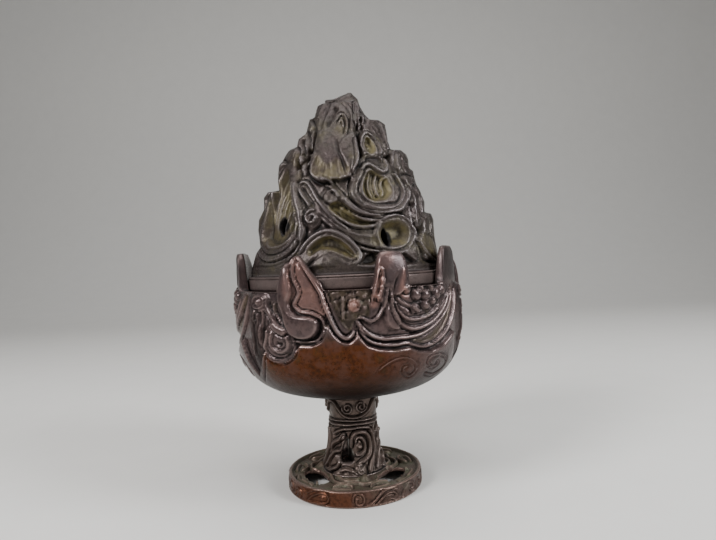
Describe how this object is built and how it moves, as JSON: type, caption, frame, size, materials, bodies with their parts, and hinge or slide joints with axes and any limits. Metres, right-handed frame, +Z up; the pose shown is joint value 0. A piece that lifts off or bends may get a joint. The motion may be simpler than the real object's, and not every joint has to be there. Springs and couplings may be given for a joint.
{
  "type": "hill censer",
  "caption": "Footed incense burner: a relief bowl with rim peaks on an openwork column and pierced round foot, under a hollow mountain-shaped lid with smoke holes.",
  "frame": {"origin": "on the table under the middle of the round foot", "axes": "+Z up along the censer's upright axis, -Y towards the front that the picture shows, +X to the right seen from the front"},
  "size_m": [0.1154, 0.1142, 0.2],
  "materials": {
    "mountain_bronze": "dark brown patina, olive in the hollows, satin",
    "band_bronze": "dark brown patina on a turned band, satin",
    "bowl_bronze": "reddish brown patina, rubbed to copper on the ridges",
    "stem_bronze": "dark grey brown patina, satin",
    "foot_bronze": "brown patina with grey green hollows",
    "rod_steel": "plain steel"
  },
  "bodies": {
    "cup": {"bowl": "bowl_bronze", "stem": "stem_bronze", "foot": "foot_bronze", "tie_rod": "rod_steel", "upper_washer": "rod_steel", "upper_nut": "rod_steel", "lower_washer": "rod_steel", "lower_nut": "rod_steel"},
    "lid": {"mountain_lid": "mountain_bronze", "lid_band": "band_bronze"}
  },
  "joints": [
    {"name": "lid_lift", "type": "slide", "parent": "cup", "child": "lid", "axis": [0, 0, 1], "range_m": [0, 0.07]}
  ]
}
